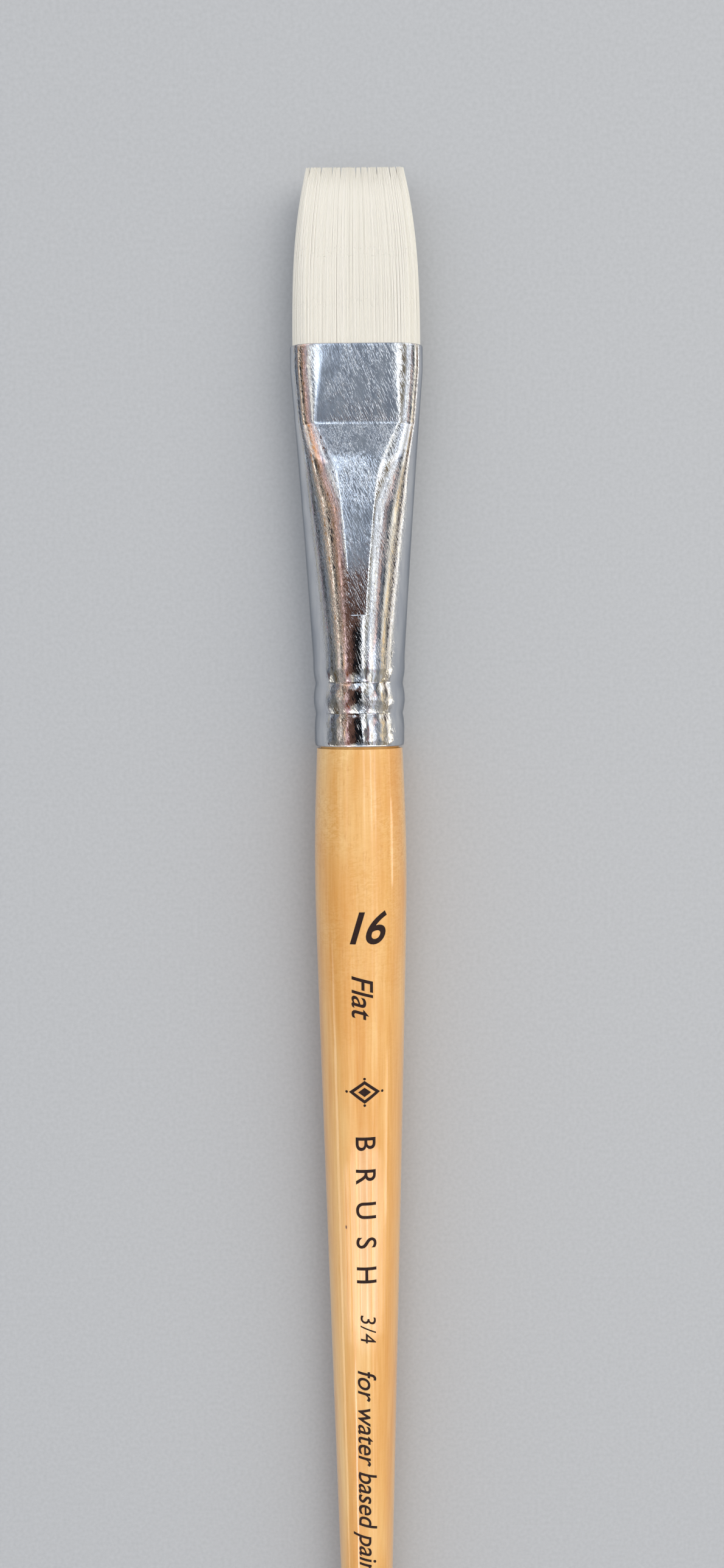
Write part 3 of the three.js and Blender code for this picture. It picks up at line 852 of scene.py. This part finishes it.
def areaLight(name, where, size, power, colour):
    data = bpy.data.lights.new(name, "AREA")
    data.shape = "RECTANGLE"
    data.size, data.size_y = size
    data.energy = power
    data.color = toLinear(colour)[:3]
    light = bpy.data.objects.new(name, data)
    bpy.context.collection.objects.link(light)
    light.visible_glossy = False  # the surroundings are what the plate mirrors
    light.location = where
    light.rotation_euler = (-Vector(where)).to_track_quat("-Z", "Y").to_euler()


# What the plate and the lacquer mirror: a long half-round of strip lamps and coloured things
# about the brush. Lengths are in mm, and angles in degrees from straight up, towards +X.
surroundings = {
    "radius": 1000.0, "behind": 2000.0, "ahead": 2300.0, "halfTurn": 89,
    "rows": 21, "columns": 61,
    # strips: angle, colour and brightness, each blending into the next
    "strips": [
        (-90, "#5C6470", 0.3), (-82, "#8C867A", 0.7), (-74, "#5A5F68", 0.3), (-56, "#6B6A66", 0.35),
        (-53, "#E0A030", 1.2), (-46, "#ECC048", 1.5), (-43, "#5E4A3A", 0.3), (-38, "#E27A28", 1.2),
        (-33, "#E23E34", 1.5), (-26, "#EC6450", 1.5), (-23, "#6A5A50", 0.35), (-20, "#FFF2DA", 1.8),
        (-17, "#FFF2DA", 1.5), (-15.5, "#4A505A", 0.3), (-12.5, "#5A6470", 0.4),
        (-11, "#EAF2FC", 1.9), (-8.5, "#F2F8FF", 1.7), (-6.8, "#A9B6C8", 0.85), (-1.5, "#A9B2BE", 0.7),
        (7, "#A9B2BE", 0.7), (9, "#F6FAFF", 2.8), (12, "#F6FAFF", 2.6), (13.5, "#6A727E", 0.4),
        (22, "#5A6470", 0.4), (28, "#FFFFFF", 3.0), (40, "#F4F7FC", 2.0), (47, "#8E99A8", 0.5),
        (58, "#D9CDB8", 1.0), (66, "#CBA878", 0.9), (78, "#D8B488", 1.0), (84, "#F3E4CC", 1.4),
        (90, "#6A6F78", 0.3),
    ],
    # the strips are there for the ferrule, and dim past it to leave the handle a soft sheen
    "dimFrom": 20.0, "dimTo": -60.0, "dimmedShare": 0.3, "dimmedGlow": 0.22,
    # lamps: angle and its half-width, place along the brush and its half-length, brightness
    "lamps": [
        (-6.7, 5.0, 470, 110, 2.6), (-3.2, 2.0, 760, 190, 6.0), (-40, 29, 640, 90, 1.0),
        (40, 29, 640, 90, 1.0), (0, 80, -560, 120, 6.0), (85, 7, -60, 80, 5.0),
        (-80, 5, -650, 460, 4.0), (70, 7, -430, 100, 4.0), (-34, 4, -930, 260, 12.0),
    ],
    "brightest": 4.0,  # a ramp holds nothing over 1, so the strips are stored as shares of this
    # away from the middle the strips break up: how much of a hue they take on, and how uneven
    "tintShare": 0.65, "unevenFrom": 0.15, "unevenTo": 2.1,
}


def lampMaterial(name):
    # an empty material, for light and nothing else
    material = bpy.data.materials.new(name)
    material.use_nodes = True
    material.node_tree.nodes.clear()
    return material, material.node_tree


def makeSurroundings():
    # Half a cylinder over the stage: x = radius * sin(angle), height = radius * cos(angle).
    s = surroundings
    angle = np.radians(np.linspace(-s["halfTurn"], s["halfTurn"], s["columns"]))[None, :]
    y = np.linspace(-s["behind"], s["ahead"], s["rows"])[:, None]
    points = np.stack(np.broadcast_arrays(
        s["radius"] * np.sin(angle), y, s["radius"] * np.cos(angle)), axis=-1) * mm
    rows, columns = points.shape[:2]
    row, column = np.arange(rows - 1)[:, None], np.arange(columns - 1)[None, :]
    corner = row * columns + column
    quads = np.stack([corner, corner + 1, corner + columns + 1, corner + columns], axis=-1)
    shell = meshFrom("surroundings", points, quads.reshape(-1, 4).tolist())
    material, tree = lampMaterial("strip lamps and room colours")
    coords = addNode(tree, "TexCoord", {}, output="Object")
    axisX, axisY, axisUp = (
        addNode(tree, "SeparateXYZ", {}, {"Vector": coords}, output=axis) for axis in "XYZ")
    turn = addNode(tree, "Math", {"operation": "ARCTAN2"}, {0: axisX, 1: axisUp})
    share = addNode(tree, "MapRange", {"From Min": -math.pi / 2, "From Max": math.pi / 2},
                    {"Value": turn})
    colour = addNode(tree, "ValToRGB", {"stops": [((d + 90) / 180, c) for d, c, _ in s["strips"]]},
                     {"Fac": share})
    bright = addNode(
        tree, "ValToRGB", {"stops": [((d + 90) / 180, b / s["brightest"]) for d, _, b in s["strips"]]},
        {"Fac": share})
    bright = addNode(tree, "Math", {"operation": "MULTIPLY", 1: s["brightest"]}, {0: bright})
    # away from the middle the strips are streaky, and take on hues as a cluttered room does
    streakSize = addNode(tree, "Mapping", {"vector_type": "TEXTURE", "Scale": inMm(90, 900, 90)},
                         {"Vector": coords})
    streaks = addNode(tree, "TexNoise", {"Scale": 1.0, "Detail": 3.0}, {"Vector": streakSize})
    hueSize = addNode(tree, "Mapping", {"vector_type": "TEXTURE", "Scale": inMm(130, 700, 130),
                                        "Rotation": (0, -0.4, 0)}, {"Vector": coords})
    hues = addNode(tree, "TexNoise", {"Scale": 1.0, "Detail": 2.0}, {"Vector": hueSize})
    offCentre = addNode(
        tree, "ValToRGB", {"stops": [(0.42, 1.0), (0.455, 0.0), (0.545, 0.0), (0.575, 1.0)]},
        {"Fac": share})
    tint = addNode(
        tree, "ValToRGB", {"stops": [(0.3, "#C89A52"), (0.4, "#F6E8C8"), (0.5, "#FFFFFF"),
                                     (0.6, "#AFC2DC"), (0.66, "#DC8C74"), (0.74, "#8F8A4E")]},
        {"Fac": hues})
    tintShare = addNode(tree, "Math", {"operation": "MULTIPLY", 1: s["tintShare"]}, {0: offCentre})
    colour = addNode(tree, "Mix", {"data_type": "RGBA"}, {0: tintShare, 6: colour, 7: tint}, output=2)
    uneven = addNode(tree, "MapRange", {"From Min": 0.38, "From Max": 0.62, "To Min": s["unevenFrom"],
                                        "To Max": s["unevenTo"]}, {"Value": streaks})
    uneven = addNode(tree, "Mix", {"data_type": "FLOAT", 2: 1.0}, {0: offCentre, 3: uneven})
    bright = addNode(tree, "Math", {"operation": "MULTIPLY"}, {0: bright, 1: uneven})
    lit = addNode(tree, "MapRange", {"From Min": s["dimTo"] * mm, "From Max": s["dimFrom"] * mm},
                  {"Value": axisY})
    dim = addNode(tree, "Math", {"operation": "MULTIPLY_ADD", 1: s["dimmedShare"], 2: s["dimmedGlow"]},
                  {0: bright})
    bright = addNode(tree, "Mix", {"data_type": "FLOAT"}, {0: lit, 2: dim, 3: bright})
    for degrees, halfTurn, along, halfLength, strength in s["lamps"]:
        # a lamp is brightest where (angle / half-width) ** 2 + (place / half-length) ** 6 is small
        parts = []
        for source, middle, half, power in (
                (turn, math.radians(degrees), math.radians(halfTurn), 2.0),
                (axisY, along * mm, halfLength * mm, 6.0)):
            part = addNode(tree, "Math", {"operation": "SUBTRACT", 1: middle}, {0: source})
            part = addNode(tree, "Math", {"operation": "DIVIDE", 1: half}, {0: part})
            parts.append(addNode(tree, "Math", {"operation": "POWER", 1: power}, {0: part}))
        away = addNode(tree, "Math", {"operation": "ADD"}, {0: parts[0], 1: parts[1]})
        lamp = addNode(tree, "MapRange", {"From Min": 1.0, "From Max": 0.2, "To Max": strength},
                       {"Value": away})
        bright = addNode(tree, "Math", {"operation": "ADD"}, {0: bright, 1: lamp})
    emission = addNode(tree, "Emission", {}, {"Color": colour, "Strength": bright})
    addNode(tree, "OutputMaterial", {}, {"Surface": emission})
    shell.data.materials.append(material)
    mirrorOnly(shell)


def mirrorOnly(thing):
    # leaves a thing in reflections, and takes it out of the picture and of the light
    thing.visible_camera = False
    thing.visible_diffuse = False
    thing.visible_transmission = False
    thing.visible_shadow = False


# The dark back of the camera and the brown hand about it, which the round tube mirrors. It is a
# card of two by two fields just above the camera, and the second field is the camera's back.
cameraCard = {
    "x": [-112, -48, 20], "depth": [62, -60, -76],  # edges of the fields, from the camera's axis
    "above": 12, "hand": "#6E5044", "back": "#16171A",
}


def makeCameraCard():
    c = cameraSizes
    x = np.array(cameraCard["x"])[None, :]
    depth = c["behindMouth"] + np.array(cameraCard["depth"])[:, None]
    points = place(x, depth, c["height"] + cameraCard["above"])
    quads = [[k, k + 1, k + 4, k + 3] for k in (0, 1, 3, 4)]
    card = meshFrom("camera_back", points, quads, smooth=False)
    for name, colour in (("brown hand", cameraCard["hand"]), ("black camera", cameraCard["back"])):
        material, tree = lampMaterial(name)
        emission = addNode(tree, "Emission", {"Color": toLinear(colour)})
        addNode(tree, "OutputMaterial", {}, {"Surface": emission})
        card.data.materials.append(material)
    card.data.polygons[1].material_index = 1
    mirrorOnly(card)


studio = {
    "world": "#C4C9D0", "worldStrength": 0.75,
    # area lights: name, place and size in metres, watts, colour
    "lights": [
        ("window_right", (0.65, 0.25, 0.8), (0.6, 1.2), 5, "#FFF8EE"),
        ("window_left", (-0.7, 0.1, 0.75), (0.5, 1.2), 2, "#F4F8FF"),
        ("ceiling", (0.1, 0.1, 1.0), (0.8, 1.4), 4, "#FFFDF8"),
    ],
}


def makeLights():
    scene = bpy.context.scene
    scene.view_settings.view_transform = "Standard"  # colours go out as they are lit
    world = bpy.data.worlds.new("studio")
    scene.world = world
    world.use_nodes = True
    background = world.node_tree.nodes["Background"]
    background.inputs["Color"].default_value = toLinear(studio["world"])
    background.inputs["Strength"].default_value = studio["worldStrength"]
    for light in studio["lights"]:
        areaLight(*light)
    makeSurroundings()
    makeCameraCard()


makeCamera()
makeFloor()
makeLights()
print("camera, floor and lights set")
